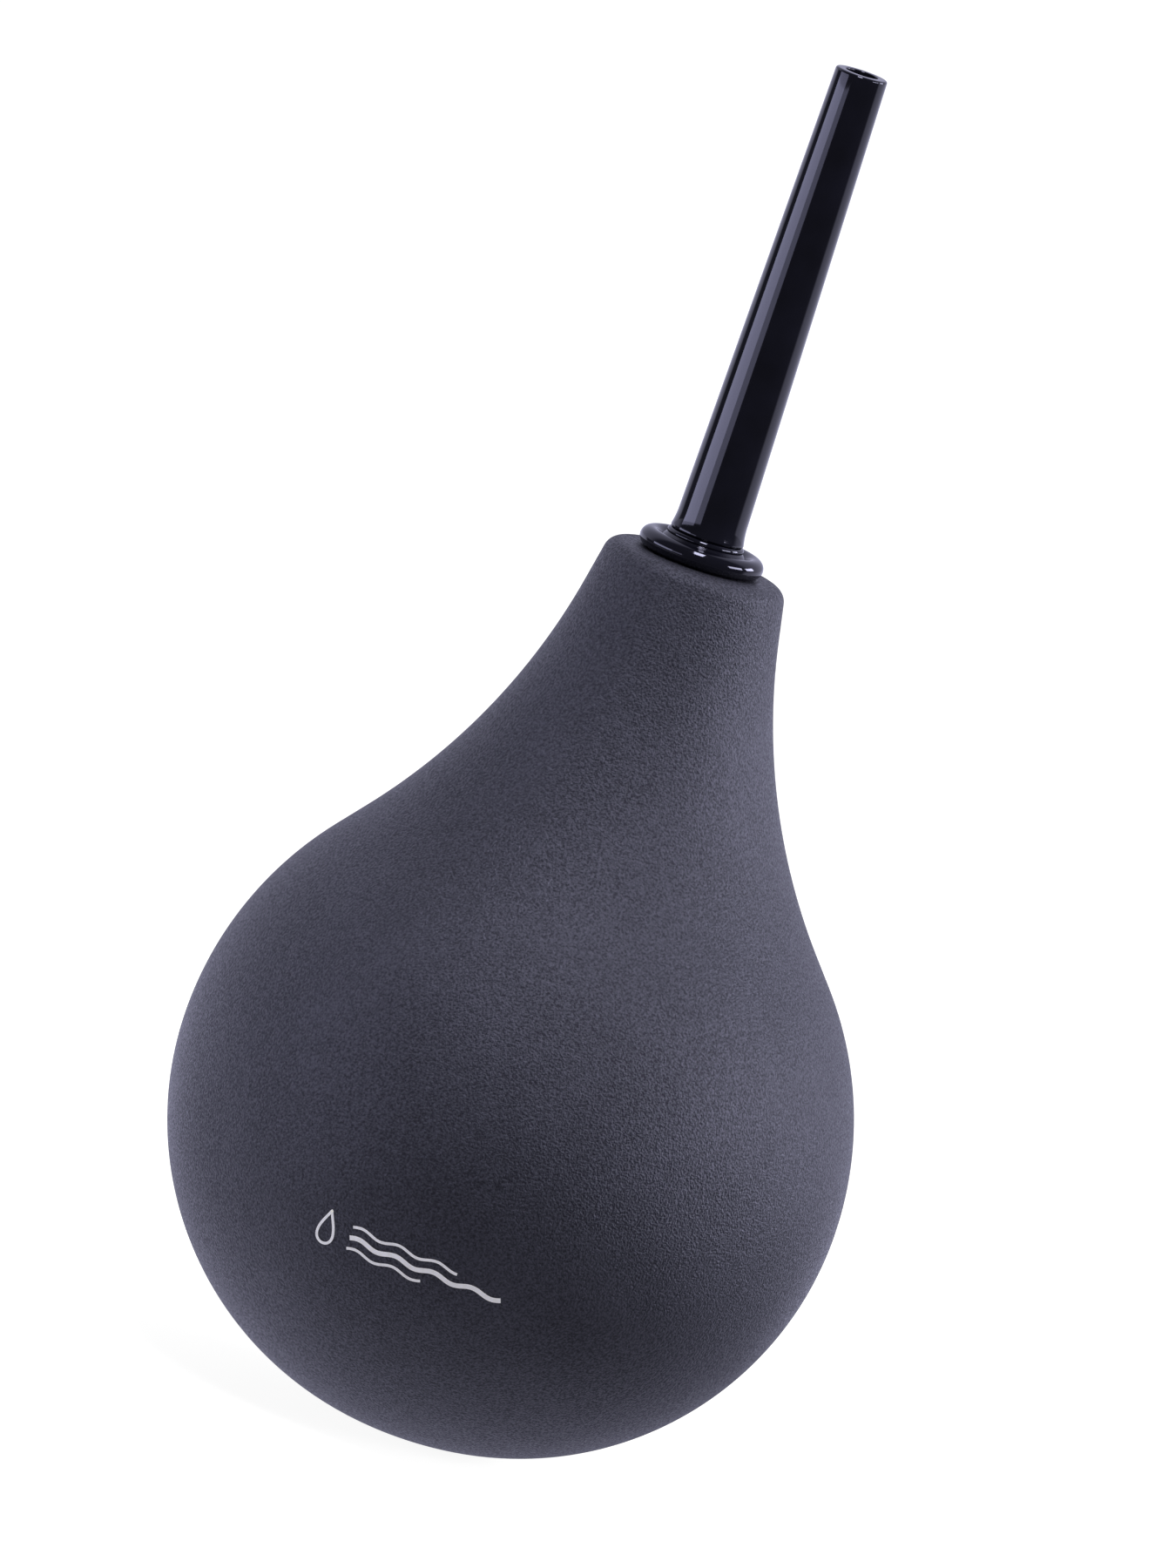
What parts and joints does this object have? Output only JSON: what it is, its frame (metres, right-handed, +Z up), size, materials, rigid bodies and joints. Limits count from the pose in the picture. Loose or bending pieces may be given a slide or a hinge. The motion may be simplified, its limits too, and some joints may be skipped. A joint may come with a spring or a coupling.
{
  "type": "squeeze bulb with nozzle",
  "caption": "Teardrop soft rubber hand bulb with a long blunt tapered push-in nozzle that pushes out air or liquid when squeezed.",
  "frame": {"origin": "middle of the flat foot under the bulb, on the axis of the bulb and nozzle", "axes": "+Z up the axis from the foot through the neck to the tip of the nozzle; -Y is the side that carries the printed mark, +X is to its right"},
  "size_m": [0.084, 0.084, 0.1764],
  "materials": {
    "soft_rubber": "soft-touch matte, charcoal black, fine even grain",
    "gloss_plastic": "polished gloss black",
    "seal_rubber": "satin black"
  },
  "bodies": {
    "bulb": {"bulb": "soft_rubber"},
    "collar": {"collar": "gloss_plastic"},
    "seal_ring": {"seal_ring": "seal_rubber"},
    "nozzle": {"nozzle": "gloss_plastic"}
  },
  "joints": [
    {"name": "squeeze", "type": "slide", "parent": "bulb", "child": "collar", "axis": [0, 0, 1], "range_m": [-0.02, 0], "stiffness_N_per_m": 1250, "deforming": ["bulb"]},
    {"name": "nozzle_pull", "type": "slide", "parent": "collar", "child": "seal_ring", "axis": [0, 0, 1], "range_m": [0, 0.012]},
    {"name": "nozzle_twist", "type": "hinge", "parent": "seal_ring", "child": "nozzle", "pos_m": [0, 0, 0.1165], "axis": [0, 0, 1], "continuous": true}
  ]
}
